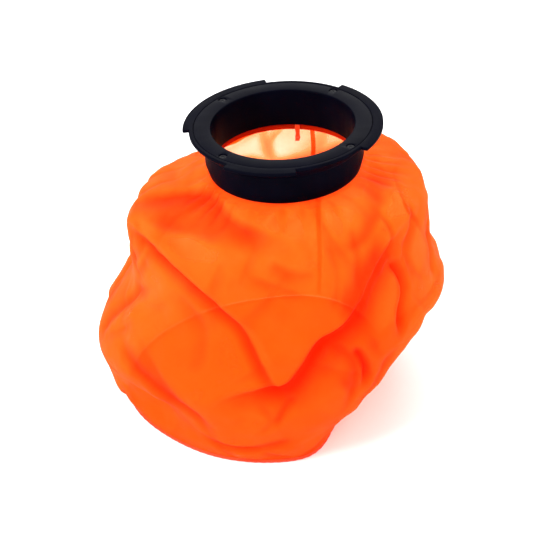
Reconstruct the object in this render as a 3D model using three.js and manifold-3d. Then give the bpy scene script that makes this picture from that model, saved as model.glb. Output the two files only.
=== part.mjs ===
// A smoke hood for testing ceiling detectors: a black moulded mounting ring with three bayonet lugs, a liner
// ring screwed inside it, and a translucent fabric bag whose hem is clamped between the two.
// Millimetres, +Z up. The bag stands on z = 0 with the origin at the middle of its outline, seen from above.

import * as THREE from "three";
import { mergeVertices } from "three/addons/utils/BufferGeometryUtils.js";
import Module from "manifold-3d";

const wasm = await Module();
wasm.setup();

// ---- driving dimensions -------------------------------------------------------------------------------------

const FIT_GAP = 0.3; // between pieces that touch

const BORE_R = 54; // clear bore, which passes over a detector of about 100 mm
const NECK_WALL = 3.7;
const NECK_H = 35.2; // flange top to the neck's lower edge
const FOOT_H = 9; // the neck draws in over its lowest part
const FOOT_DRAW = 2.2;
const RIM_REACH = 10.3; // how far the flange stands out from the neck
const RIM_T = 2.2;
const CONE_H = 10.5; // the flange's underside slopes in to the neck over this height
const EDGE = 0.7; // chamfer on the moulded edges

const LUG_REACH = 4.7; // how far a lug stands out from the flange
const LUG_T = 2.6;
const LUG_ARCS = [
  [50.4, -37.5],
  [181.5, 98.9],
  [275.9, 233.5],
]; // each lug's end and start, in degrees round the axis: two long lugs and a short one that keys the ring
const LUG_END_R = 1.6; // rounding of a lug's outer corners
const LUG_ROOT = 1.5; // how far a lug reaches into the flange

const LINER_WALL = 1.2;
const LINER_H = 30.3; // the liner stops short of the neck's lower edge
const LINER_FLANGE_T = 2.4;
const LAND_W = 3.4; // the flange's bare border outside the liner's flange
const BORE_ROUND = 0.9; // rounding of the liner's upper inner edge

const SCREW_DEGS = [50, 136, 225, 320];
const SCREW_INSET = 4.1; // from the edge of the liner's flange
const SCREW_SHANK_R = 1.3;
const SCREW_LENGTH = 5; // under the head
const SCREW_POINT = 1.2;
const SCREW_HEAD_R = 2.9;
const SCREW_HEAD_T = 0.9;
const SINK_DEPTH = 1.6; // the counterbore that takes a screw's head

const HEM_T = 0.5; // two layers of fabric in the clamp
const HEM_CORD_R = 0.6; // welt cord that stops the hem from pulling out

const FABRIC_T = 1; // stands for fabric of about 0.1 mm
const BAG_H = 202.5; // from the floor to where the fabric leaves the clamp
const BASE_EDGE_H = 3.5; // height of the side panel's lower edge, with the base seam under it
const BASE_SEAM_W = 2.2;
const SEAM_T = 0.8;
const SEAM_W = 6;
const SEAM_DEG = 78; // the side panel's one seam runs down the back
const TAB_DROP = 12; // the seam allowance that hangs inside the mouth
const TAB_FOOT = 4.5;

const RING_STEPS = 72;
const BAG_STEPS = 48;
const SMALL_STEPS = 16;

// ---- sizes that follow --------------------------------------------------------------------------------------

const HEM_R = BORE_R + LINER_WALL + FIT_GAP; // inner face of the hem
const NECK_IN_R = HEM_R + HEM_T + FIT_GAP;
const NECK_R = NECK_IN_R + NECK_WALL;
const RIM_R = NECK_R + RIM_REACH;
const LUG_R = RIM_R + LUG_REACH;
const LINER_FLANGE_R = RIM_R - LAND_W;
const SCREW_CIRCLE_R = LINER_FLANGE_R - SCREW_INSET;
const RECESS_T = LINER_FLANGE_T + FIT_GAP; // the flange's recess takes the liner's own flange
const GROOVE = 2 * (HEM_CORD_R + FIT_GAP); // the welt cord's groove is square
const SCREW_TIP = FIT_GAP - SINK_DEPTH - SCREW_LENGTH;
const RING_TOP = BAG_H + FIT_GAP + NECK_H;

// The side panel's shape: at each height, as a share of the bag's height, its distance from the ring's axis to
// the right (+X), back (+Y), left (-X) and front (-Y). The first row is the mouth and the last the base edge.
const MOUTH_R = HEM_R + HEM_T + 0.2;
const BAG_ROWS = [
  [1, MOUTH_R, MOUTH_R, MOUTH_R, MOUTH_R],
  [0.985, 73, 76, 64, 70],
  [0.94, 98, 96, 88, 88],
  [0.87, 107, 112, 119, 102],
  [0.74, 108, 121, 122, 114],
  [0.6, 114, 127, 124, 120],
  [0.47, 124, 130, 142, 124],
  [0.32, 112, 131, 159, 125],
  [0.19, 98, 128, 159, 122],
  [0.08, 84, 121, 152, 117],
  [BASE_EDGE_H / BAG_H, 74, 113, 141, 110],
];
const SHOULDER_ROW = 2; // the top panel ends and the side panel starts at this row
// Places where the loose fabric falls in: the angle and its spread in degrees, the height and its spread as shares
// of the bag's height, and the depth.
const BAG_DENTS = [
  [-44, 30, 0, 0.28, 38],
  [-20, 26, 0.31, 0.13, 26],
  [-148, 22, 0.16, 0.12, 22],
  [-70, 12, 0.03, 0.15, 12],
  [125, 40, 0.93, 0.07, 18],
];
const MOUTH_SHARE = 0.06; // over this share of the height the dents fade out towards the mouth

// ---- materials ----------------------------------------------------------------------------------------------

const plastic = new THREE.MeshStandardMaterial({ color: 0x14151c, roughness: 0.45, metalness: 0 });
const screwSteel = new THREE.MeshStandardMaterial({ color: 0x0c0c0e, roughness: 0.5, metalness: 0.6 });
const fabric = new THREE.MeshStandardMaterial({ color: 0xff6a1c, roughness: 0.7, metalness: 0 });
const tape = new THREE.MeshStandardMaterial({ color: 0xff3300, roughness: 0.75, metalness: 0 });

// ---- helpers ------------------------------------------------------------------------------------------------

const radians = THREE.MathUtils.degToRad;

function lathe(points, steps) {
  const closed = [...points, points[0]].map(([r, z]) => new THREE.Vector2(r, z));
  return new THREE.LatheGeometry(closed, steps).rotateX(Math.PI / 2);
}

// Points of a quarter turn clockwise, for rounding a corner of a lathe profile.
function quarter(r, z, radius, fromDeg, steps = 3) {
  return Array.from({ length: steps + 1 }, (_, i) => {
    const a = radians(fromDeg - (90 * i) / steps);
    return [r + radius * Math.cos(a), z + radius * Math.sin(a)];
  });
}

function toSolid(geometry) {
  const bare = geometry.clone();
  bare.deleteAttribute("normal");
  bare.deleteAttribute("uv");
  const merged = mergeVertices(bare, 1e-3);
  return new wasm.Manifold(
    new wasm.Mesh({
      numProp: 3,
      vertProperties: new Float32Array(merged.attributes.position.array),
      triVerts: new Uint32Array(merged.index.array),
    }),
  );
}

function toGeometry(solid) {
  const mesh = solid.getMesh();
  const geometry = new THREE.BufferGeometry();
  geometry.setAttribute("position", new THREE.BufferAttribute(new Float32Array(mesh.vertProperties), 3));
  geometry.setIndex(new THREE.BufferAttribute(new Uint32Array(mesh.triVerts), 1));
  return geometry;
}

function piece(name, geometry, material) {
  const mesh = new THREE.Mesh(geometry, material);
  mesh.name = name;
  return mesh;
}

// A closed solid from a grid of points: rows run along the piece, and each row is a closed loop round its section.
function gridSolid(rows, closedLengthways) {
  const count = rows[0].length;
  const points = rows.flat();
  const faces = [];
  const spans = closedLengthways ? rows.length : rows.length - 1;
  for (let i = 0; i < spans; i++) {
    const next = (i + 1) % rows.length;
    for (let j = 0; j < count; j++) {
      const k = (j + 1) % count;
      faces.push(i * count + j, i * count + k, next * count + k);
      faces.push(i * count + j, next * count + k, next * count + j);
    }
  }
  if (!closedLengthways) {
    const last = (rows.length - 1) * count;
    for (let j = 1; j < count - 1; j++) {
      faces.push(0, j + 1, j);
      faces.push(last, last + j, last + j + 1);
    }
  }
  const geometry = new THREE.BufferGeometry();
  const flat = new Float32Array(points.flatMap((p) => [p.x, p.y, p.z]));
  geometry.setAttribute("position", new THREE.BufferAttribute(flat, 3));
  geometry.setIndex(faces);
  return geometry;
}

// ---- the rigid ring -----------------------------------------------------------------------------------------

// Its profiles are drawn with z = 0 on the flange's top.

function lugShape([end, start]) {
  const [from, to] = [radians(start), radians(end)];
  const turn = LUG_END_R / LUG_R;
  const inner = RIM_R - LUG_ROOT;
  const corner = (angle, radius) => [radius * Math.cos(angle), radius * Math.sin(angle)];
  const shape = new THREE.Shape();
  shape.moveTo(...corner(from, inner));
  shape.lineTo(...corner(from, LUG_R - LUG_END_R));
  shape.quadraticCurveTo(...corner(from, LUG_R), ...corner(from + turn, LUG_R));
  shape.absarc(0, 0, LUG_R, from + turn, to - turn, false);
  shape.quadraticCurveTo(...corner(to, LUG_R), ...corner(to, LUG_R - LUG_END_R));
  shape.lineTo(...corner(to, inner));
  shape.absarc(0, 0, inner, to, from, true);
  return shape;
}

function lug(arc) {
  const bevel = EDGE / 2;
  const options = {
    depth: LUG_T - 2 * bevel,
    bevelEnabled: true,
    bevelSize: bevel,
    bevelThickness: bevel,
    bevelOffset: -bevel,
    bevelSegments: 1,
    curveSegments: 18,
  };
  return new THREE.ExtrudeGeometry(lugShape(arc), options).translate(0, 0, bevel - LUG_T);
}

function screwPlaces() {
  return SCREW_DEGS.map((degrees) => {
    const a = radians(degrees);
    return new THREE.Vector3(SCREW_CIRCLE_R * Math.cos(a), SCREW_CIRCLE_R * Math.sin(a), 0);
  });
}

function cutHoles(solid, radius, bottom) {
  const above = 1; // clear of the flange's top
  const height = above - bottom;
  const one = new THREE.CylinderGeometry(radius, radius, height, SMALL_STEPS).rotateX(Math.PI / 2);
  const holes = screwPlaces().map((p) => toSolid(one.clone().translate(p.x, p.y, bottom + height / 2)));
  return holes.reduce((rest, hole) => rest.subtract(hole), solid);
}

function mountingRing() {
  const recessR = LINER_FLANGE_R + FIT_GAP;
  const profile = [
    [NECK_IN_R + GROOVE, -RECESS_T],
    [recessR, -RECESS_T],
    [recessR, 0],
    [RIM_R - EDGE, 0],
    [RIM_R, -EDGE],
    [RIM_R, -RIM_T],
    [NECK_R, -RIM_T - CONE_H],
    [NECK_R, FOOT_H - NECK_H],
    [NECK_R - FOOT_DRAW, EDGE - NECK_H],
    [NECK_R - FOOT_DRAW - EDGE, -NECK_H],
    [NECK_IN_R, -NECK_H],
    [NECK_IN_R, -RECESS_T - GROOVE],
    [NECK_IN_R + GROOVE, -RECESS_T - GROOVE],
  ];
  const body = toSolid(lathe(profile.reverse(), RING_STEPS));
  const flanged = LUG_ARCS.reduce((solid, arc) => solid.add(toSolid(lug(arc))), body);
  return toGeometry(cutHoles(flanged, SCREW_SHANK_R + FIT_GAP, SCREW_TIP - FIT_GAP));
}

function linerRing() {
  const profile = [
    ...quarter(BORE_R + BORE_ROUND, -BORE_ROUND, BORE_ROUND, 180),
    [LINER_FLANGE_R - EDGE / 2, 0],
    [LINER_FLANGE_R, -EDGE / 2],
    [LINER_FLANGE_R, -LINER_FLANGE_T],
    [BORE_R + LINER_WALL, -LINER_FLANGE_T],
    [BORE_R + LINER_WALL, EDGE / 2 - LINER_H],
    [BORE_R + LINER_WALL - EDGE / 2, -LINER_H],
    [BORE_R, -LINER_H],
  ];
  const body = toSolid(lathe(profile.reverse(), RING_STEPS));
  const drilled = cutHoles(body, SCREW_SHANK_R + FIT_GAP, -LINER_FLANGE_T - 1);
  return toGeometry(cutHoles(drilled, SCREW_HEAD_R + FIT_GAP, -SINK_DEPTH));
}

function screw() {
  const under = FIT_GAP - SINK_DEPTH;
  const profile = [
    [0, under + SCREW_HEAD_T],
    [SCREW_HEAD_R * 0.7, under + SCREW_HEAD_T],
    [SCREW_HEAD_R, under + SCREW_HEAD_T / 2],
    [SCREW_HEAD_R, under],
    [SCREW_SHANK_R, under],
    [SCREW_SHANK_R, SCREW_TIP + SCREW_POINT],
    [0, SCREW_TIP],
  ];
  return lathe(profile.reverse(), SMALL_STEPS);
}

function hemCord() {
  const r = NECK_IN_R + GROOVE / 2;
  const z = -RECESS_T - GROOVE / 2;
  return new THREE.TorusGeometry(r, HEM_CORD_R, 6, RING_STEPS).translate(0, 0, z);
}

function hemSleeve() {
  const top = -RECESS_T - GROOVE - FIT_GAP;
  const profile = [
    [HEM_R, top],
    [HEM_R + HEM_T, top],
    [HEM_R + HEM_T, -NECK_H],
    [HEM_R, -NECK_H],
  ];
  return lathe(profile.reverse(), RING_STEPS);
}

// The seam allowance hangs inside the hem below the liner, and its end is folded in as a small foot.
function seamTab() {
  const top = -LINER_H - FIT_GAP;
  const outer = HEM_R - FIT_GAP;
  const shape = new THREE.Shape();
  shape.moveTo(outer, top);
  shape.lineTo(outer, top - TAB_DROP);
  shape.lineTo(outer - TAB_FOOT, top - TAB_DROP - 1);
  shape.lineTo(outer - TAB_FOOT, top - TAB_DROP);
  shape.lineTo(outer - SEAM_T, top - TAB_DROP + 1.5);
  shape.lineTo(outer - SEAM_T, top);
  const width = SEAM_W * 0.6;
  const geometry = new THREE.ExtrudeGeometry(shape, { depth: width, bevelEnabled: false });
  return geometry
    .translate(0, 0, -width / 2)
    .rotateX(Math.PI / 2)
    .rotateZ(radians(SEAM_DEG));
}

// ---- the bag ------------------------------------------------------------------------------------------------

// Distance from the axis at an angle: a row's four directions blended, less the dents.
function rowRadius(row, angle) {
  const [height, right, back, left, front] = row;
  const c = Math.cos(angle);
  const s = Math.sin(angle);
  const sides = (c > 0 ? right : left) * c * c + (s > 0 ? back : front) * s * s;
  const free = Math.min(1, (1 - height) / MOUTH_SHARE); // the mouth keeps its circle
  const fallen = BAG_DENTS.map(([degrees, spread, share, shareSpread, depth]) => {
    const turn = angle - radians(degrees);
    const away = Math.atan2(Math.sin(turn), Math.cos(turn)) / radians(spread);
    return depth * Math.exp(-(away ** 2) - ((height - share) / shareSpread) ** 2);
  });
  return sides - free * fallen.reduce((sum, depth) => sum + depth, 0);
}

function bagPoint(row, angle) {
  const r = rowRadius(row, angle);
  return new THREE.Vector3(r * Math.cos(angle), r * Math.sin(angle), row[0] * BAG_H);
}

// Outward normal of the side panel at a row and angle, from its neighbours.
function bagNormal(index, angle) {
  const step = 0.02;
  const above = BAG_ROWS[Math.max(0, index - 1)];
  const below = BAG_ROWS[Math.min(BAG_ROWS.length - 1, index + 1)];
  const up = bagPoint(above, angle).sub(bagPoint(below, angle));
  const round = bagPoint(BAG_ROWS[index], angle + step).sub(bagPoint(BAG_ROWS[index], angle - step));
  return round.cross(up).normalize();
}

function inwards(index, angle, depth) {
  return bagPoint(BAG_ROWS[index], angle).addScaledVector(bagNormal(index, angle), -depth);
}

// The fabric between two rows. Its edges are cut level, at heights that leave a gap to the next panel.
function panelBetween(first, last, top, bottom) {
  const indices = Array.from({ length: last - first + 1 }, (_, i) => first + i);
  const rows = Array.from({ length: BAG_STEPS }, (_, i) => {
    const angle = (2 * Math.PI * i) / BAG_STEPS;
    const skin = (depth) => {
      const points = indices.map((k) => inwards(k, angle, depth));
      points[0].z = top;
      points[points.length - 1].z = bottom;
      return points;
    };
    return [...skin(0), ...skin(FABRIC_T).reverse()];
  });
  return gridSolid(rows, true);
}

function topPanel() {
  return panelBetween(0, SHOULDER_ROW, BAG_H, BAG_ROWS[SHOULDER_ROW][0] * BAG_H);
}

function sidePanel() {
  const top = BAG_ROWS[SHOULDER_ROW][0] * BAG_H - FIT_GAP;
  return panelBetween(SHOULDER_ROW, BAG_ROWS.length - 1, top, BASE_EDGE_H);
}

// A loop that follows the base edge, between two distances outside it and two heights.
function baseLoop(inset, outset, bottom, top) {
  const row = BAG_ROWS[BAG_ROWS.length - 1];
  const rows = Array.from({ length: BAG_STEPS }, (_, i) => {
    const angle = (2 * Math.PI * i) / BAG_STEPS;
    const at = (offset, z) => {
      const r = rowRadius(row, angle) + offset;
      return new THREE.Vector3(r * Math.cos(angle), r * Math.sin(angle), z);
    };
    return [at(outset, top), at(outset, bottom), at(-inset, bottom), at(-inset, top)];
  });
  return gridSolid(rows, true);
}

function basePanel(inset) {
  const row = BAG_ROWS[BAG_ROWS.length - 1];
  const points = Array.from({ length: BAG_STEPS }, (_, i) => {
    const angle = (2 * Math.PI * i) / BAG_STEPS;
    const r = rowRadius(row, angle) - inset;
    return new THREE.Vector2(r * Math.cos(angle), r * Math.sin(angle));
  });
  return new THREE.ExtrudeGeometry(new THREE.Shape(points), { depth: FABRIC_T, bevelEnabled: false });
}

// The felled seam lies inside the side panel, on the panel's one flat strip nearest to the seam's angle.
function backSeam() {
  const stripDeg = 360 / BAG_STEPS;
  const start = Math.floor(SEAM_DEG / stripDeg) * stripDeg;
  const near = FABRIC_T + FIT_GAP;
  const rows = BAG_ROWS.map((_, k) => {
    const across = (share, depth) => {
      const from = inwards(k, radians(start), depth);
      return from.lerp(inwards(k, radians(start + stripDeg), depth), share);
    };
    const width = across(0, near).distanceTo(across(1, near));
    const half = SEAM_W / 2 / width;
    return [
      across(0.5 + half, near),
      across(0.5 - half, near),
      across(0.5 - half, near + SEAM_T),
      across(0.5 + half, near + SEAM_T),
    ];
  });
  return gridSolid(rows.slice(SHOULDER_ROW), false);
}

// ---- assembly -----------------------------------------------------------------------------------------------

const ring = new THREE.Group();
ring.position.z = RING_TOP;
ring.add(piece("mounting_ring", mountingRing(), plastic));
ring.add(piece("liner_ring", linerRing(), plastic));
screwPlaces().forEach((place, i) => {
  const one = piece(`liner_screw_${i + 1}`, screw(), screwSteel);
  one.position.copy(place);
  ring.add(one);
});
ring.add(piece("hem_cord", hemCord(), tape));
ring.add(piece("bag_hem", hemSleeve(), fabric));
ring.add(piece("seam_tab", seamTab(), tape));

const panel = sidePanel();
const bag = new THREE.Group();
bag.add(piece("bag_top_panel", topPanel(), fabric));
bag.add(piece("bag_side_panel", panel, fabric));
bag.add(piece("bag_base_panel", basePanel(BASE_SEAM_W + FIT_GAP), fabric));
bag.add(piece("base_seam", baseLoop(BASE_SEAM_W, FIT_GAP, 0, BASE_EDGE_H - FIT_GAP), tape));
bag.add(piece("back_seam", backSeam(), tape));

// Everything above is placed about the ring's axis, which stands off the middle of the bag's outline.
panel.computeBoundingBox();
const middle = panel.boundingBox.getCenter(new THREE.Vector3());
const hood = new THREE.Group();
hood.position.set(-middle.x, -middle.y, 0);
hood.add(ring, bag);
export default hood;
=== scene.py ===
"""Looks for the smoke hood: a black bayonet ring on a thin, see-through orange fabric bag.

The bag is a gathered fabric tube sewn to a flat base. Its big folds are lines on the fabric, each given as
points of (angle round the ring's axis in degrees, height in mm). Many of the front folds' points were
measured with a separate script and rounded; report.md says which. Sizes are in mm until a mesh is made.
"""

import math

import bpy
import numpy as np
from mathutils import Matrix, Vector, noise


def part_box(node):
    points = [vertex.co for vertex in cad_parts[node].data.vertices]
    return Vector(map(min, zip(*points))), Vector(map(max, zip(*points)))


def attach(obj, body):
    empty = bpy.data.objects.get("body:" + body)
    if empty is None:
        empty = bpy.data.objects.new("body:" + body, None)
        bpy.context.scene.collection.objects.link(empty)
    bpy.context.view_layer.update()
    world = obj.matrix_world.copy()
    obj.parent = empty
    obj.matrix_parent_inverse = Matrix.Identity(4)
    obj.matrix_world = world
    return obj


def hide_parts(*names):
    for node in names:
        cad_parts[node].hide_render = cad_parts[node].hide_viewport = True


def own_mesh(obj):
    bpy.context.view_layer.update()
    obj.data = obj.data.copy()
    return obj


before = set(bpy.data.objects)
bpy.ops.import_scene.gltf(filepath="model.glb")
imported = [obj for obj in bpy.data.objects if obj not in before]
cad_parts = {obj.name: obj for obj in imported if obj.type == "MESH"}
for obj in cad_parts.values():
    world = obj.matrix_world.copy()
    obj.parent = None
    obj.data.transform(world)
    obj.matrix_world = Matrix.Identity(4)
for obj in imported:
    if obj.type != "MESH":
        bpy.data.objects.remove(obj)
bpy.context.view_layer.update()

MM = 0.001


def node_box(name):
    """Lowest and highest corner of a CAD node, in mm."""
    low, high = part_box(name)
    return np.array(low) / MM, np.array(high) / MM


# ---- places, taken from the frame where it has them --------------------------------------------------------

liner_low, liner_high = node_box("liner_ring")
hem_low, hem_high = node_box("bag_hem")
cord_low, cord_high = node_box("hem_cord")
tab_low, tab_high = node_box("seam_tab")
seam_low, seam_high = node_box("base_seam")

AXIS = (liner_low[:2] + liner_high[:2]) / 2
RING_TOP = liner_high[2]
MOUTH_Z = node_box("bag_top_panel")[1][2]
BASE_EDGE_Z = node_box("bag_side_panel")[0][2]
HEM_OUT = (hem_high[0] - hem_low[0]) / 2
HEM_T = 0.5
CORD_R = (cord_high[2] - cord_low[2]) / 2
CORD_RING_R = (cord_high[0] - cord_low[0]) / 2 - CORD_R
SEAM_DEG = 78

# ---- camera ------------------------------------------------------------------------------------------------

CAMERA_DISTANCE = 1.123  # from the middle of the ring's top
CAMERA_ELEVATION = math.radians(28.2)
CAMERA_ROLL = math.radians(3.36)
RING_RIGHT_OF_VIEW = math.radians(0.29)
RING_ABOVE_VIEW = math.radians(5.78)


def make_camera():
    data = bpy.data.cameras.new("camera")
    data.lens = 98.2
    data.sensor_width = 36
    camera = bpy.data.objects.new("camera", data)
    bpy.context.scene.collection.objects.link(camera)
    back = Vector((0, -math.cos(CAMERA_ELEVATION), math.sin(CAMERA_ELEVATION)))
    right = Vector((1, 0, 0))
    level = Matrix((right, back.cross(right), back)).transposed()
    rolled = level @ Matrix.Rotation(-CAMERA_ROLL, 3, "Z")
    ring_seen = Vector((math.tan(RING_RIGHT_OF_VIEW), math.tan(RING_ABOVE_VIEW), -1))
    turn = Vector((0, 0, -1)).rotation_difference(ring_seen).to_matrix()
    aim = Vector((AXIS[0], AXIS[1], RING_TOP)) * MM
    place = Matrix.Translation(aim + back * CAMERA_DISTANCE)
    camera.matrix_world = place @ (rolled @ turn.inverted()).to_4x4()
    bpy.context.scene.camera = camera


# ---- materials ---------------------------------------------------------------------------------------------


class Nodes:
    """A short way to build a material's node tree."""

    def __init__(self, name):
        self.material = bpy.data.materials.new(name)
        self.material.use_nodes = True
        self.tree = self.material.node_tree
        self.tree.nodes.clear()
        self.output = self.tree.nodes.new("ShaderNodeOutputMaterial")

    def add(self, kind, inputs=None, **settings):
        node = self.tree.nodes.new("ShaderNode" + kind)
        for key, value in settings.items():
            setattr(node, key, value)
        for key, value in (inputs or {}).items():
            if isinstance(value, bpy.types.NodeSocket):
                self.tree.links.new(value, node.inputs[key])
            else:
                node.inputs[key].default_value = value
        return node

    def position(self):
        return self.add("TexCoord").outputs["Object"]

    def noise(self, scale, detail=3.0, roughness=0.5):
        inputs = {"Vector": self.position(), "Scale": scale, "Detail": detail, "Roughness": roughness}
        return self.add("TexNoise", inputs).outputs["Fac"]

    def remap(self, value, low, high, to_low, to_high):
        names = {"Value": value, 1: low, 2: high, 3: to_low, 4: to_high}
        return self.add("MapRange", names).outputs["Result"]

    def math(self, operation, a, b=0.0):
        return self.add("Math", {0: a, 1: b}, operation=operation).outputs[0]

    def mix_color(self, factor, a, b):
        node = self.add("Mix", data_type="RGBA")
        for key, value in (("Factor", factor), ("A", a), ("B", b)):
            socket = [s for s in node.inputs if s.name == key and s.enabled][0]
            if isinstance(value, bpy.types.NodeSocket):
                self.tree.links.new(value, socket)
            else:
                socket.default_value = value
        return [s for s in node.outputs if s.enabled][0]

    def attribute(self, name):
        return self.add("Attribute", attribute_name=name).outputs["Fac"]

    def bump(self, height, distance, strength=1.0):
        inputs = {"Height": height, "Distance": distance, "Strength": strength}
        return self.add("Bump", inputs).outputs["Normal"]

    def surface(self, shader):
        self.tree.links.new(shader, self.output.inputs["Surface"])
        return self.material


def moulded_plastic(name, color, roughness, grain):
    """Black moulded plastic with a spark-eroded grain, uneven gloss and faint rubs."""
    n = Nodes(name)
    broad = n.noise(38, 4)
    rubs = n.remap(n.noise(210, 6, 0.7), 0.62, 0.78, 0.0, 1.0)
    tone = n.mix_color(n.remap(broad, 0.3, 0.7, 0.0, 1.0), (*color, 1), (*[c * 1.7 for c in color], 1))
    worn = n.mix_color(n.math("MULTIPLY", rubs, 0.2), tone, (0.005, 0.005, 0.008, 1))
    satin = n.remap(broad, 0.3, 0.7, roughness, roughness + 0.1)
    gloss = n.math("ADD", satin, n.math("MULTIPLY", rubs, 0.12))
    inputs = {
        "Base Color": worn,
        "Roughness": gloss,
        "Specular IOR Level": 0.008,
        "Normal": n.bump(n.noise(2600, 2), grain * MM),
    }
    return n.surface(n.add("BsdfPrincipled", inputs).outputs[0])


def screw_finish():
    n = Nodes("black_oxide")
    tone = n.mix_color(n.noise(900, 3), (0.003, 0.003, 0.004, 1), (0.012, 0.012, 0.015, 1))
    inputs = {
        "Base Color": tone,
        "Roughness": n.remap(n.noise(400, 2), 0.3, 0.7, 0.35, 0.55),
        "Specular IOR Level": 0.05,
    }
    return n.surface(n.add("BsdfPrincipled", inputs).outputs[0])


THREADS = 1600  # threads per metre in the weave


def weave(n):
    """Height of a fine plain weave."""
    place = n.add("SeparateXYZ", {0: n.position()})
    across = n.math("ADD", place.outputs[0], place.outputs[1])
    warp = n.math("SINE", n.math("MULTIPLY", across, THREADS * math.pi))
    weft = n.math("SINE", n.math("MULTIPLY", place.outputs[2], THREADS * math.pi))
    return n.math("MULTIPLY", warp, weft)


def thin_nylon(name, clear_share, doubled_share):
    """See-through nylon. Where the cloth's layering attribute is above zero the cloth is painted denser and
    redder, partly for cloth lying doubled and partly as painted shade in folds and creases; where it is below
    zero the cloth is painted paler and clearer, which is painted light.
    """
    n = Nodes(name)
    cloudy = n.remap(n.noise(20, 5, 0.55), 0.3, 0.7, -0.17, 0.17)
    threads = n.remap(weave(n), -1.0, 1.0, -0.03, 0.03)
    # Painted shade and painted light: the layering attribute darkens the cloth in folds and creases, partly
    # as doubled cloth, and paints it paler below zero.
    dense_shaded_lit = n.math("ADD", n.math("ADD", n.attribute("layers_light_shade"), cloudy), threads)
    layered_shaded_lit = n.remap(dense_shaded_lit, 0.0, 1.0, 0.0, 1.0)
    thin_and_lit = n.remap(dense_shaded_lit, -0.7, 0.0, 1.0, 0.0)
    color = n.mix_color(layered_shaded_lit, (0.92, 0.165, 0.006, 1), (0.9, 0.036, 0.0005, 1))
    height = n.math("ADD", n.math("MULTIPLY", weave(n), 0.1), n.noise(110, 4))
    normal = n.bump(height, 0.5 * MM, 0.5)
    inputs = {
        "Base Color": color,
        "Roughness": 0.5,
        "Specular IOR Level": 0.06,
        "Sheen Weight": 0.04,
        "Normal": normal,
    }
    cloth = n.add("BsdfPrincipled", inputs)
    through = n.add("BsdfTranslucent", {"Color": color, "Normal": normal})
    body = n.add("MixShader", {0: 0.5, 1: cloth.outputs[0], 2: through.outputs[0]})
    tint = n.mix_color(layered_shaded_lit, (1.0, 0.76, 0.46, 1), (1.0, 0.45, 0.2, 1))
    # Painted light: below zero the tint turns pale and the cloth clearer.
    tint = n.mix_color(thin_and_lit, tint, (1.0, 0.87, 0.82, 1))
    clear = n.add("BsdfTransparent", {"Color": tint})
    share = n.remap(dense_shaded_lit, 0.0, 1.0, clear_share, doubled_share)
    share = n.math("MAXIMUM", share, n.remap(thin_and_lit, 0.0, 1.0, clear_share, 0.86))
    mixed = n.add("MixShader", {0: share, 1: body.outputs[0], 2: clear.outputs[0]})
    return n.surface(mixed.outputs[0])


def sewn_tape():
    """Folded and stitched nylon, which is four layers thick."""
    n = Nodes("sewn_tape")
    tone = n.mix_color(n.noise(60, 4), (0.85, 0.05, 0.003, 1), (0.9, 0.085, 0.008, 1))
    height = n.math("ADD", n.math("MULTIPLY", weave(n), 0.3), n.noise(300, 3))
    normal = n.bump(height, 0.3 * MM, 0.6)
    cloth = n.add("BsdfPrincipled", {"Base Color": tone, "Roughness": 0.6, "Normal": normal})
    through = n.add("BsdfTranslucent", {"Color": tone, "Normal": normal})
    return n.surface(n.add("MixShader", {0: 0.4, 1: cloth.outputs[0], 2: through.outputs[0]}).outputs[0])


def sewing_thread():
    n = Nodes("sewing_thread")
    twist = n.add("TexWave", {"Vector": n.position(), "Scale": 900.0, "Distortion": 1.0}).outputs["Fac"]
    tone = n.mix_color(twist, (0.7, 0.03, 0.003, 1), (0.95, 0.12, 0.015, 1))
    inputs = {"Base Color": tone, "Roughness": 0.6, "Normal": n.bump(twist, 0.1 * MM)}
    return n.surface(n.add("BsdfPrincipled", inputs).outputs[0])


def pale_floor():
    n = Nodes("pale_floor")
    tone = n.mix_color(n.noise(9, 2), (0.93, 0.93, 0.93, 1), (0.95, 0.95, 0.95, 1))
    return n.surface(n.add("BsdfPrincipled", {"Base Color": tone, "Roughness": 0.9}).outputs[0])


# ---- mesh helpers ------------------------------------------------------------------------------------------


def new_piece(name, vertices, faces, material, body):
    """A mesh object from points in mm, riding on a CAD body."""
    mesh = bpy.data.meshes.new(name)
    mesh.from_pydata([tuple(v) for v in np.asarray(vertices, float) * MM], [], faces)
    mesh.validate()
    mesh.polygons.foreach_set("use_smooth", [True] * len(mesh.polygons))
    mesh.materials.append(material)
    mesh.update()
    piece = bpy.data.objects.new(name, mesh)
    bpy.context.scene.collection.objects.link(piece)
    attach(piece, body)
    return piece


def grid_faces(rows, columns, closed_rows=False):
    """Quads of a grid of points, numbered row by row, whose rows are closed loops."""
    faces = []
    for i in range(rows if closed_rows else rows - 1):
        for j in range(columns):
            k, m = (i + 1) % rows, (j + 1) % columns
            faces.append((i * columns + j, i * columns + m, k * columns + m, k * columns + j))
    return faces


def set_attribute(piece, name, values):
    attribute = piece.data.attributes.new(name, "FLOAT", "POINT")
    attribute.data.foreach_set("value", np.asarray(values, np.float32).ravel())


def apply_modifiers(piece):
    graph = bpy.context.evaluated_depsgraph_get()
    graph.update()
    shaped = piece.evaluated_get(graph)
    mesh = bpy.data.meshes.new_from_object(shaped, preserve_all_data_layers=True, depsgraph=graph)
    piece.modifiers.clear()
    piece.data = mesh


def thicken(piece, thickness):
    solid = piece.modifiers.new("thickness", "SOLIDIFY")
    solid.thickness = thickness * MM
    solid.offset = 0
    apply_modifiers(piece)


def unit(vectors):
    return vectors / (np.linalg.norm(vectors, axis=-1, keepdims=True) + 1e-12)


def cloth_noise(points, scale, seed):
    offset = Vector((seed * 13.7, seed * 5.1, seed * 9.3))
    values = [noise.noise(Vector(p) / scale + offset) for p in points.reshape(-1, 3)]
    return np.array(values).reshape(points.shape[:-1])


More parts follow.
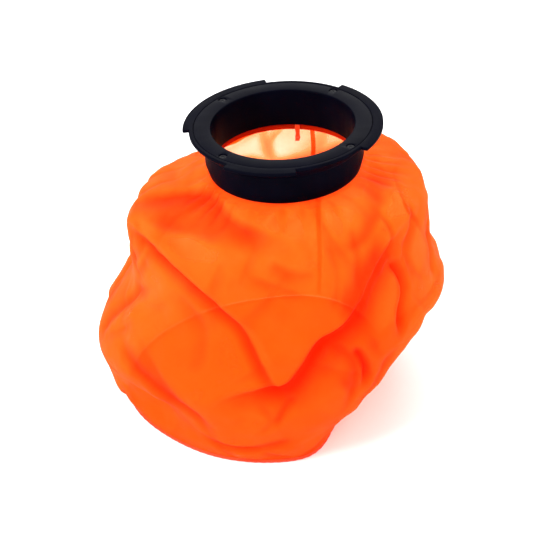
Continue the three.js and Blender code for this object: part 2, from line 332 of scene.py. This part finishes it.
def spline(keys, at):
    """Catmull-Rom through evenly numbered keys."""
    keys = np.asarray(keys, float)
    padded = np.vstack([2 * keys[0] - keys[1], keys, 2 * keys[-1] - keys[-2]])
    at = np.clip(np.asarray(at, float), 0, len(keys) - 1)
    i = np.minimum(at.astype(int), len(keys) - 2)
    t = (at - i)[..., None]
    a, b, c, d = padded[i], padded[i + 1], padded[i + 2], padded[i + 3]
    return 0.5 * (2 * b + (c - a) * t + (2 * a - 5 * b + 4 * c - d) * t**2 + (3 * b - a - 3 * c + d) * t**3)


# ---- the bag's cloth ---------------------------------------------------------------------------------------

FABRIC_T = 0.3
BASE_PAINTED_LIGHT = -0.45  # painted light: the base is painted paler and clearer, lifting the shade inside the bag
COLUMNS = 420
ROWS = 190

# Share of the mouth's height, then the distance from the ring's axis to the right, back, left and front.
PROFILE = [
    (1, 56.2, 56.2, 56.2, 56.2),
    (0.985, 73, 76, 64, 70),
    (0.94, 98, 96, 88, 88),
    (0.87, 107, 112, 119, 102),
    (0.74, 108, 121, 122, 114),
    (0.6, 114, 127, 124, 120),
    (0.47, 124, 130, 142, 124),
    (0.32, 112, 131, 159, 125),
    (0.19, 98, 128, 159, 122),
    (0.08, 84, 121, 152, 117),
    (0.017, 74, 113, 141, 110),
]
# Angle and spread in degrees, share of the height and its spread, and depth.
DENTS = [
    (-44, 30, 0, 0.28, 38),
    (-20, 26, 0.31, 0.13, 26),
    (-148, 22, 0.16, 0.12, 22),
    (-70, 12, 0.03, 0.15, 12),
    (125, 40, 0.93, 0.07, 18),
]

# Folds: points of (angle, height); how far the fold spreads to the left and to the right of its direction;
# its depth, which is below zero for a ridge; and how much darker and redder its cloth is painted, partly for
# cloth lying doubled there and partly as painted shade.
FOLDS = [
    # the shoulder's crease, with the front falling away below it
    ([(-184, 178), (-178, 183), (-162, 195), (-144, 199), (-126, 196), (-115, 194), (-102, 192), (-84, 187)],
     2, 9, 4, 0.65),
    ([(-170, 181), (-150, 186), (-134, 189), (-118, 186)], 6, 3, 2, 0.45),
    # the long diagonal on the left of the front, an overlapped pleat
    ([(-176, 168), (-162, 171), (-150, 170), (-130, 157), (-113, 136), (-106, 117), (-99, 88), (-93, 70)],
     2.5, 7, 5, 0.8),
    ([(-168, 175), (-146, 176), (-122, 156), (-106, 134), (-99, 112), (-94, 92)], 7, 3, -2.5, 0.1),
    # the big curve above the lower bulge
    ([(-14, 180), (-37, 177), (-48, 169), (-59, 152), (-68, 134), (-75, 124), (-82, 117), (-88, 98),
      (-94, 84), (-103, 80), (-114, 72), (-125, 53)], 15, 3, 10, 0.85),
    ([(-46, 182), (-58, 166), (-66, 148), (-74, 132)], 14, 10, 3, 0.65),
    ([(-40, 172), (-52, 160), (-62, 144), (-72, 122), (-80, 104), (-92, 78)], 7, 7, -4, 0.0),
    # the lower left band and the line under it
    ([(-166, 94), (-152, 78), (-142, 70), (-134, 62), (-126, 46), (-122, 20)], 9, 5, 5, 0.5),
    ([(-128, 26), (-122, 22), (-112, 19), (-98, 26), (-92, 34)], 4, 4, 2, 0.4),
    # slots and the outline of the bulge on the right
    ([(-52, 162), (-43, 154), (-40, 142), (-41, 130), (-47, 114), (-52, 100)], 3, 6, 9, 0.95),
    ([(-44, 166), (-52, 160), (-60, 147), (-67, 124)], 3, 4, -3, 0.3),
    ([(-70, 112), (-67, 103), (-65, 92), (-64, 80), (-66, 66)], 3, 5, 8, 0.9),
    ([(-80, 122), (-72, 108), (-69, 90), (-70, 68), (-74, 44)], 2, 6, 3, 0.4),
    ([(-52, 100), (-58, 74), (-62, 50), (-60, 30)], 5, 5, 3, 0.35),
    # gathers and creases under the ring
    ([(10, 198), (-25, 199), (-46, 192), (-58, 184), (-72, 180)], 3, 5, 3, 0.5),
    ([(-42, 196), (-44, 178), (-48, 160)], 3, 3, 2.5, 0.4),
    ([(-60, 194), (-62, 176), (-66, 150)], 3, 4, 2.5, 0.35),
    ([(-74, 192), (-72, 168), (-76, 140)], 3, 4, 2, 0.25),
    ([(-24, 192), (-30, 176), (-40, 162)], 4, 3, 2.5, 0.4),
    ([(-100, 180), (-90, 172), (-78, 170)], 3, 6, 2, 0.3),
    # small ones on the front and the left
    ([(-90, 75), (-95, 62), (-99, 45)], 2.5, 3, 3, 0.45),
    ([(-104, 70), (-100, 54), (-104, 38)], 3, 3, 1.5, 0.2),
    ([(-158, 136), (-166, 112), (-174, 84), (-176, 60)], 5, 4, 4, 0.4),
    ([(-158, 96), (-154, 119), (-138, 140)], 6, 4, -3, 0.0),
    ([(-140, 150), (-128, 132), (-124, 108), (-128, 84)], 5, 8, 2, 0.2),
    ([(-180, 158), (-172, 150), (-160, 146)], 4, 3, 3, 0.35),
    # the right side and the back
    ([(-2, 172), (-12, 140), (-16, 108)], 5, 8, 4, 0.35),
    ([(24, 186), (34, 150), (28, 110), (16, 70), (14, 30)], 7, 4, 5, 0.5),
    ([(6, 98), (-8, 84), (-20, 60), (-26, 34)], 4, 7, 4, 0.4),
    ([(52, 192), (60, 164), (84, 140), (114, 128), (142, 106), (160, 84)], 3, 9, 5, 0.6),
    ([(84, 196), (96, 160), (92, 110), (104, 60), (100, 24)], 6, 4, 4, 0.35),
    ([(150, 184), (142, 150), (148, 112), (134, 66), (128, 26)], 4, 7, 5, 0.5),
    ([(58, 128), (74, 92), (68, 48)], 7, 5, -4, 0.0),
    ([(40, 96), (52, 68), (50, 30)], 4, 5, 4, 0.4),
    ([(172, 176), (178, 150), (168, 118), (172, 80), (164, 40)], 5, 6, 4, 0.35),
    ([(108, 190), (124, 170), (134, 140), (128, 108)], 3, 5, 3, 0.4),
]
# Painted light: patches painted paler and clearer where light falling in through the mouth brightens the
# cloth: angle, height, how far it reaches in degrees and mm, how much paler.
PAINTED_LIGHT_PATCHES = [
    (95, 150, 34, 45, 0.42),
    (-142, 184, 26, 10, 0.38),
    (-30, 178, 16, 24, 0.25),
    (-84, 196, 60, 5, 0.2),
    (-160, 120, 30, 40, 0.16),
    (-112, 66, 16, 24, 0.14),
]
FOLD_LAYERING_AND_SHADE = 1.3  # scales the painted darkening of every big fold: doubled cloth and painted shade
SHORT_CREASES = 150
PLEATS = 31  # gathers round the mouth
MOUTH_SHARE = 0.06  # over this share of the height the dents fade out towards the mouth
CHART_R = 120  # turns degrees into mm when a distance to a fold is measured


def pulse(x):
    """0 at both ends of 0 to 1, and 1 over most of the middle."""
    rise = np.clip(np.minimum(x, 1 - x) / 0.25, 0, 1)
    return rise * rise * (3 - 2 * rise)


def fold_field(angle, height, points):
    """Signed distance in mm from the chart's points to a fold, above zero on its left, and its strength."""
    line = spline(points, np.linspace(0, len(points) - 1, 10 * len(points)))
    line[:, 0] *= math.radians(1) * CHART_R
    middle = line[:, 0].mean()
    turn = 2 * math.pi * CHART_R
    x = np.radians(angle) * CHART_R
    x = middle + (x - middle + turn / 2) % turn - turn / 2
    best = np.full(x.shape, 1e9)
    signed = np.zeros(x.shape)
    along = np.zeros(x.shape)
    for k in range(len(line) - 1):
        (ax, ay), (bx, by) = line[k], line[k + 1]
        ux, uy = bx - ax, by - ay
        t = np.clip(((x - ax) * ux + (height - ay) * uy) / (ux * ux + uy * uy + 1e-9), 0, 1)
        dx, dy = x - ax - t * ux, height - ay - t * uy
        distance = np.hypot(dx, dy)
        closer = distance < best
        best = np.where(closer, distance, best)
        signed = np.where(closer, np.sign(ux * dy - uy * dx) * distance, signed)
        along = np.where(closer, (k + t) / (len(line) - 1), along)
    return signed, pulse(along)


def smooth_grid(values, passes):
    """Averages each value of the cloth's grid with its four neighbours."""
    for _ in range(passes):
        rows = np.concatenate([values[:1], values, values[-1:]])
        beside = np.roll(values, 1, 1) + np.roll(values, -1, 1)
        values = 0.5 * values + 0.125 * (rows[:-2] + rows[2:] + beside)
    return values


def short_creases(angles, height):
    """Depth of the many short, straight creases that a packed bag keeps, and how much darker they are
    painted: partly doubled cloth, partly painted shade in the crease.
    """
    chance = np.random.default_rng(5)
    creased = np.zeros(height.shape)
    doubled_and_shaded = np.zeros(height.shape)
    for _ in range(SHORT_CREASES):
        degrees, at = chance.uniform(0, 360), chance.uniform(8, 190)
        lean = math.radians(chance.normal(70 if chance.random() < 0.6 else -35, 25))
        long, wide = chance.uniform(9, 26), chance.uniform(1.6, 3.2)
        depth = chance.uniform(0.4, 1.5)
        x = np.radians((angles - degrees + 180) % 360 - 180) * CHART_R
        y = height - at
        along = (x * math.cos(lean) + y * math.sin(lean)) / long
        across = (y * math.cos(lean) - x * math.sin(lean)) / wide
        sharp = np.where(across > 0, 1, 0.35)
        near = np.exp(-(along**2) - (across * sharp) ** 2)
        creased += depth * near
        doubled_and_shaded = np.maximum(doubled_and_shaded, 0.32 * depth * near)
    return creased, doubled_and_shaded


def bag_surface():
    """Points of the cloth's middle surface, row by row from the mouth, and how much darker the cloth is
    painted there, for doubled cloth and painted shade, with painted light below zero.
    """
    rows = spline(PROFILE, np.linspace(0, len(PROFILE) - 1, ROWS))
    angle = np.arange(COLUMNS) * 360 / COLUMNS
    turn = np.radians(angle)[None, :]
    share = np.clip(rows[:, :1], BASE_EDGE_Z / MOUTH_Z, 1) + 0 * turn
    c, s = np.cos(turn), np.sin(turn)
    sideways = np.where(c > 0, rows[:, 1:2], rows[:, 3:4])
    lengthways = np.where(s > 0, rows[:, 2:3], rows[:, 4:5])
    radius = sideways * c * c + lengthways * s * s
    free = np.clip((1 - share) / MOUTH_SHARE, 0, 1)
    for degrees, spread, at, at_spread, depth in DENTS:
        away = ((angle[None, :] - degrees + 180) % 360 - 180) / spread
        radius = radius - depth * np.exp(-(away**2) - ((share - at) / at_spread) ** 2) * free
    points = np.stack([radius * c, radius * s, share * MOUTH_Z], -1)
    down = unit(np.gradient(points, axis=0))
    normal = unit(np.cross(down, unit(np.roll(points, -1, 1) - np.roll(points, 1, 1))))
    angles = angle[None, :] + 0 * share
    height = points[..., 2]
    sunk = np.zeros(share.shape)
    layers_light_shade = np.zeros(share.shape)
    # Painted shade: each fold paints its cloth darker and redder, partly as cloth lying doubled there.
    for line, left, right, depth, doubled_and_shaded in FOLDS:
        distance, strength = fold_field(angles, height, line)
        spread = np.where(distance > 0, left, right)
        near = np.exp(-((distance / spread) ** 2)) * strength
        sunk += depth * near
        layers_light_shade = 1 - (1 - layers_light_shade) * (1 - np.clip(FOLD_LAYERING_AND_SHADE * doubled_and_shaded, 0, 1) * near)
    run = np.linspace(0, 1, ROWS)[:, None]
    wander = 2.5 * np.sin(np.radians(angles) * 5) + 1.5 * np.sin(np.radians(angles) * 3 + 1)
    pleat = np.sin(np.radians(angles) * PLEATS + wander)
    gather = np.exp(-(((run - 0.09) / 0.08) ** 2))
    sunk -= 1.0 * pleat * gather
    # Painted shade in the gathers' valleys, partly as cloth lying doubled.
    layers_light_shade = np.clip(layers_light_shade + 0.25 * gather * np.clip(-pleat, 0, 1), 0, 1)
    # The rows next to the mouth are painted darker.
    band = np.clip(1 - run / 0.05, 0, 1)
    layers_light_shade = np.maximum(layers_light_shade, 0.6 * band)
    sunk = smooth_grid(sunk, 2)
    creased, doubled_and_shaded = short_creases(angles, height)
    sunk += creased
    layers_light_shade = 1 - (1 - layers_light_shade) * (1 - doubled_and_shaded)
    # Painted light: the patches make the cloth paler and clearer.
    for degrees, at, wide, high, amount in PAINTED_LIGHT_PATCHES:
        away = ((angles - degrees + 180) % 360 - 180) / wide
        layers_light_shade = layers_light_shade - amount * np.exp(-(away**2) - ((height - at) / high) ** 2) * (1 - layers_light_shade)
    sunk -= 5 * cloth_noise(points, 60, 1) + 2 * cloth_noise(points, 23, 2) + 0.5 * cloth_noise(points, 9, 3)
    held = np.clip(run / 0.05, 0, 1) * np.clip((1 - run) / 0.03, 0, 1)
    points = points - normal * (sunk * held)[..., None]
    points[..., 2] = np.clip(points[..., 2], BASE_EDGE_Z, MOUTH_Z)
    points[..., :2] += AXIS
    return points, smooth_grid(layers_light_shade, 1)


def cloth_normals(points):
    return unit(np.cross(np.gradient(points, axis=0), np.roll(points, -1, 1) - np.roll(points, 1, 1)))


def side_piece(points, layers_light_shade, material):
    vertices = points.reshape(-1, 3)
    piece = new_piece("bag_side", vertices, grid_faces(ROWS, COLUMNS), material, "bag")
    set_attribute(piece, "layers_light_shade", layers_light_shade)
    thicken(piece, FABRIC_T)
    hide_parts("bag_side_panel", "bag_top_panel")
    return piece


def base_piece(edge, material):
    """The flat bottom: loops of points from its middle out to the side panel's lower edge."""
    loops = 50
    middle = edge[:, :2].mean(0)
    reach = (np.arange(1, loops + 1) / loops)[:, None, None]
    flat = middle + (edge[None, :, :2] - middle) * reach * 0.985
    points = np.concatenate([flat, 0.5 + 1.4 * reach**8 + 0 * flat[..., :1]], -1)
    ripples = cloth_noise(points, 26, 4) + 0.5 * cloth_noise(points, 11, 5)
    points[..., 2] += 1.6 * np.clip(ripples, 0, 1) * (1 - reach[..., 0] ** 4)
    columns = len(edge)
    vertices = np.vstack([points.reshape(-1, 3), [[*middle, 0.5]]])
    faces = grid_faces(loops, columns) + [(len(vertices) - 1, (j + 1) % columns, j) for j in range(columns)]
    piece = new_piece("bag_base", vertices, faces, material, "bag")
    # Painted light: the base gets a paler, clearer colour than the side.
    set_attribute(piece, "layers_light_shade", np.full(len(vertices), BASE_PAINTED_LIGHT))
    thicken(piece, FABRIC_T)
    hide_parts("bag_base_panel")
    return piece


def base_seam_piece(edge, material):
    """The folded tape that joins the side to the base, with a ripple from its stitches."""
    middle = edge[:, :2].mean(0)
    out = unit(edge[:, :2] - middle)
    sides = 10
    rings = []
    for j in range(len(edge)):
        ripple = 0.15 * math.sin(j * 1.7)
        ring = []
        for i in range(sides):
            a = 2 * math.pi * i / sides
            across = 1.35 * math.cos(a) * abs(math.cos(a)) ** -0.4 if abs(math.cos(a)) > 1e-6 else 0
            up = 1.5 * math.sin(a)
            place = edge[j, :2] - out[j] * (0.9 - across - ripple)
            ring.append((*place, 1.6 + up * 0.98))
        rings.append(ring)
    vertices = np.array(rings).reshape(-1, 3)
    faces = grid_faces(len(edge), sides, True)
    piece = new_piece("base_seam_tape", vertices, faces, material, "bag")
    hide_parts("base_seam")
    return piece


def seam_band(points, material):
    """The felled seam: a strip on the inside of the cloth, down the back."""
    normals = cloth_normals(points)
    column = round(SEAM_DEG / 360 * COLUMNS)
    half = 1
    columns = np.arange(column - half, column + half + 1)
    out = np.where((normals[:, column, :2] * (points[:, column, :2] - AXIS)).sum(1) > 0, 1, -1)
    rows = range(6, ROWS - 3)
    vertices, faces = [], []
    for i in rows:
        for j in columns:
            inset = 0.45 if j in (columns[0], columns[-1]) else 0.75
            vertices.append(points[i, j] - normals[i, j] * out[i] * inset)
    wide = len(columns)
    for i in range(len(rows) - 1):
        for j in range(wide - 1):
            k = i * wide + j
            faces.append((k, k + 1, k + wide + 1, k + wide))
    piece = new_piece("back_seam_band", vertices, faces, material, "bag")
    set_attribute(piece, "layers_light_shade", np.full(len(vertices), 0.25))
    thicken(piece, 0.5)
    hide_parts("back_seam")
    return piece


def hem_piece(material):
    """The bag's hem, clamped between the neck and the liner."""
    around, up = 240, 14
    low, high = hem_low[2], hem_high[2]
    radius = HEM_OUT - HEM_T / 2
    vertices = []
    for i in range(up):
        for j in range(around):
            a = 2 * math.pi * j / around
            z = high + (low - high) * i / (up - 1)
            vertices.append((AXIS[0] + radius * math.cos(a), AXIS[1] + radius * math.sin(a), z))
    piece = new_piece("hem_sleeve", vertices, grid_faces(up, around), material, "ring")
    set_attribute(piece, "layers_light_shade", np.full(len(vertices), 0.9))
    thicken(piece, HEM_T - 0.1)
    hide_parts("bag_hem")
    return piece


def tab_piece(material):
    """The seam allowance that hangs inside the hem, with its end folded in."""
    turn = math.radians(SEAM_DEG)
    out = np.array([math.cos(turn), math.sin(turn), 0])
    side = np.array([-math.sin(turn), math.cos(turn), 0])
    top, foot = tab_high[2], tab_low[2]
    reach = HEM_OUT - HEM_T - 0.55
    path = [(0, top), (0.15, top - 4), (0, top - 8), (0.4, foot + 2.2), (1.6, foot + 1.0), (3.8, foot + 0.6)]
    path = spline(path, np.linspace(0, len(path) - 1, 26))
    wide = 7
    vertices, faces = [], []
    for k, (inset, z) in enumerate(path):
        for j in range(wide):
            across = (j / (wide - 1) - 0.5) * (3.6 + 0.5 * math.sin(k * 0.5))
            curl = 0.25 * (2 * j / (wide - 1) - 1) ** 2
            place = np.array([AXIS[0], AXIS[1], z]) + out * (reach - inset - curl) + side * across
            vertices.append(place)
    for k in range(len(path) - 1):
        for j in range(wide - 1):
            a = k * wide + j
            faces.append((a, a + 1, a + wide + 1, a + wide))
    piece = new_piece("seam_flap", vertices, faces, material, "ring")
    thicken(piece, 0.6)
    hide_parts("seam_tab")
    return piece


def cord_piece(material):
    """The welt cord in the ring's groove, twisted from three strands."""
    around, sides = 360, 8
    strands = 3
    vertices, faces = [], []
    for strand in range(strands):
        start = len(vertices)
        for j in range(around):
            a = 2 * math.pi * j / around
            lay = 2 * math.pi * strand / strands + 60 * a
            r = CORD_RING_R + 0.26 * math.cos(lay)
            z = (cord_low[2] + cord_high[2]) / 2 + 0.26 * math.sin(lay)
            for i in range(sides):
                b = 2 * math.pi * i / sides
                reach = r + 0.3 * math.cos(b)
                up = 0.3 * math.sin(b)
                vertices.append((AXIS[0] + reach * math.cos(a), AXIS[1] + reach * math.sin(a), z + up))
        faces += [tuple(start + k for k in face) for face in grid_faces(around, sides, True)]
    piece = new_piece("welt_cord", vertices, faces, material, "ring")
    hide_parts("hem_cord")
    return piece


def stitches(name, runs, pitch, material, body):
    """Lines of sewn stitches. A run is points on the cloth and the directions out of it."""
    vertices, faces = [], []
    sides, rings = 5, 5
    for points, outs in runs:
        steps = np.linalg.norm(np.diff(points, axis=0), axis=1)
        run = np.concatenate([[0], np.cumsum(steps)])
        for begin in np.arange(pitch / 2, run[-1] - pitch, pitch):
            start = len(vertices)
            for t in np.linspace(0, 1, rings):
                at = begin + t * pitch * 0.72
                place = np.array([np.interp(at, run, points[:, k]) for k in range(3)])
                out = unit(np.array([np.interp(at, run, outs[:, k]) for k in range(3)]))
                ahead = np.array([np.interp(at + 0.3, run, points[:, k]) for k in range(3)]) - place
                side = unit(np.cross(out, ahead))
                lift = 0.1 + 0.18 * math.sin(math.pi * t)
                thick = 0.2 * (0.55 + 0.45 * math.sin(math.pi * t))
                for i in range(sides):
                    b = 2 * math.pi * i / sides
                    vertices.append(place + out * (lift + thick * math.sin(b)) + side * thick * math.cos(b))
            ends = [tuple(range(sides)), tuple((rings - 1) * sides + i for i in reversed(range(sides)))]
            faces += [tuple(start + k for k in face) for face in grid_faces(rings, sides) + ends]
    return new_piece(name, vertices, faces, material, body)


# ---- the ring ----------------------------------------------------------------------------------------------


def soften_edges(node, width):
    """Rounds a moulded CAD piece's edges for shading. Its CAD mesh stays as it is, under modifiers."""
    for polygon in node.data.polygons:
        polygon.use_smooth = True
    weld = node.modifiers.new("weld", "WELD")
    weld.merge_threshold = 0.00002
    bevel = node.modifiers.new("bevel", "BEVEL")
    bevel.width = width * MM
    bevel.segments = 2
    bevel.limit_method = "ANGLE"
    bevel.angle_limit = math.radians(28)
    bevel.harden_normals = True


def screw_piece(name, material):
    """A pan head with a cross recess on a pointed shank."""
    low, high = node_box(name)
    middle = (low + high) / 2
    head_r = (high[0] - low[0]) / 2
    around = 48
    top = high[2]
    head = [(0.05, 0), (0.9, -0.01), (1.7, -0.06), (2.35, -0.2), (2.7, -0.4)]
    head += [(head_r, -0.62), (head_r, -0.88)]
    shank = [(2.7, -0.9), (1.3, -0.9), (1.3, -4.6), (0.7, -5.2), (0.05, low[2] - top)]
    profile = head + shank
    vertices = []
    for r, z in profile:
        for j in range(around):
            a = 2 * math.pi * j / around
            drop = 0
            if r < 1.75 and z > -0.3:
                arm = min(abs(math.cos(a)), abs(math.sin(a))) * r
                drop = 0.75 * (1 - r / 2.2) if arm < 0.42 else 0
            vertices.append((middle[0] + r * math.cos(a), middle[1] + r * math.sin(a), top + z - drop))
    count = len(vertices)
    vertices += [(middle[0], middle[1], top - 0.8), (middle[0], middle[1], low[2])]
    faces = grid_faces(len(profile), around)
    last = (len(profile) - 1) * around
    faces += [(count, (j + 1) % around, j) for j in range(around)]
    faces += [(count + 1, last + j, last + (j + 1) % around) for j in range(around)]
    screw = name.replace("liner_screw", "pan_screw")
    piece = new_piece(screw, vertices, faces, material, "ring")
    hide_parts(name)
    return piece


# ---- floor and light ---------------------------------------------------------------------------------------

LIGHTS = (
    ("key", (-1.1, -0.7, 1.3), 0.8, 36),
    ("fill", (1.1, -0.5, 1.1), 1.2, 12),
    ("back", (0.1, 1.3, 1.2), 1.6, 22),
)  # name, place in metres, size and power


def make_stage():
    bpy.ops.mesh.primitive_plane_add(size=14)
    floor = bpy.context.object
    floor.name = "floor"
    floor.data.materials.append(pale_floor())
    world = bpy.data.worlds.new("studio")
    world.use_nodes = True
    world.node_tree.nodes["Background"].inputs[0].default_value = (1, 1, 1, 1)
    world.node_tree.nodes["Background"].inputs[1].default_value = 1.1
    bpy.context.scene.world = world
    for name, place, size, power in LIGHTS:
        data = bpy.data.lights.new(name, "AREA")
        data.size = size
        data.energy = power
        light = bpy.data.objects.new(name, data)
        bpy.context.scene.collection.objects.link(light)
        light.location = place
        light.rotation_euler = (Vector((0, 0, 0.1)) - light.location).to_track_quat("-Z", "Y").to_euler()


# ---- assembly ----------------------------------------------------------------------------------------------

make_camera()

nylon = thin_nylon("thin_nylon", 0.53, 0.25)
tape = sewn_tape()
thread = sewing_thread()

surface, layered_shaded_lit = bag_surface()
side = side_piece(surface, layered_shaded_lit, nylon)
base = base_piece(surface[-1], nylon)
seam_tape = base_seam_piece(surface[-1], tape)
band = seam_band(surface, nylon)
hem = hem_piece(nylon)
tab_piece(tape)
cord_piece(thread)

normals = cloth_normals(surface)
seam_column = round(SEAM_DEG / 360 * COLUMNS)
outward = np.sign((normals[ROWS // 2, seam_column, :2] * (surface[ROWS // 2, seam_column, :2] - AXIS)).sum())
seam_runs = []
for offset in (-1, 1):
    column = seam_column + offset
    outs = normals[6:-3, column] * outward
    seam_runs.append((surface[6:-3, column] + outs * 0.1, outs))
back_stitches = stitches("back_seam_stitches", seam_runs, 3.2, thread, "bag")
edge = surface[-1]
loop = np.vstack([edge, edge[:1]])
out = np.column_stack([unit(loop[:, :2] - edge[:, :2].mean(0)), np.zeros(len(loop))])
loop = loop + out * 0.5
loop[:, 2] = 2.2
base_stitches = stitches("base_seam_stitches", [(loop, out)], 3.4, thread, "bag")

for piece in (side, band, back_stitches):
    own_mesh(piece)

moulded = {
    "mounting_ring": moulded_plastic("ring_plastic", (0.0009, 0.001, 0.003), 0.42, 0.05),
    "liner_ring": moulded_plastic("liner_plastic", (0.0008, 0.0009, 0.0028), 0.28, 0.015),
}
for name, finish in moulded.items():
    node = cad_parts[name]
    node.data.materials.clear()
    node.data.materials.append(finish)
    soften_edges(node, 0.22)
steel = screw_finish()
for name in sorted(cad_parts):
    if name.startswith("liner_screw"):
        screw_piece(name, steel)

make_stage()
bpy.context.scene.view_settings.view_transform = "Standard"
bpy.context.scene.cycles.transparent_max_bounces = 24
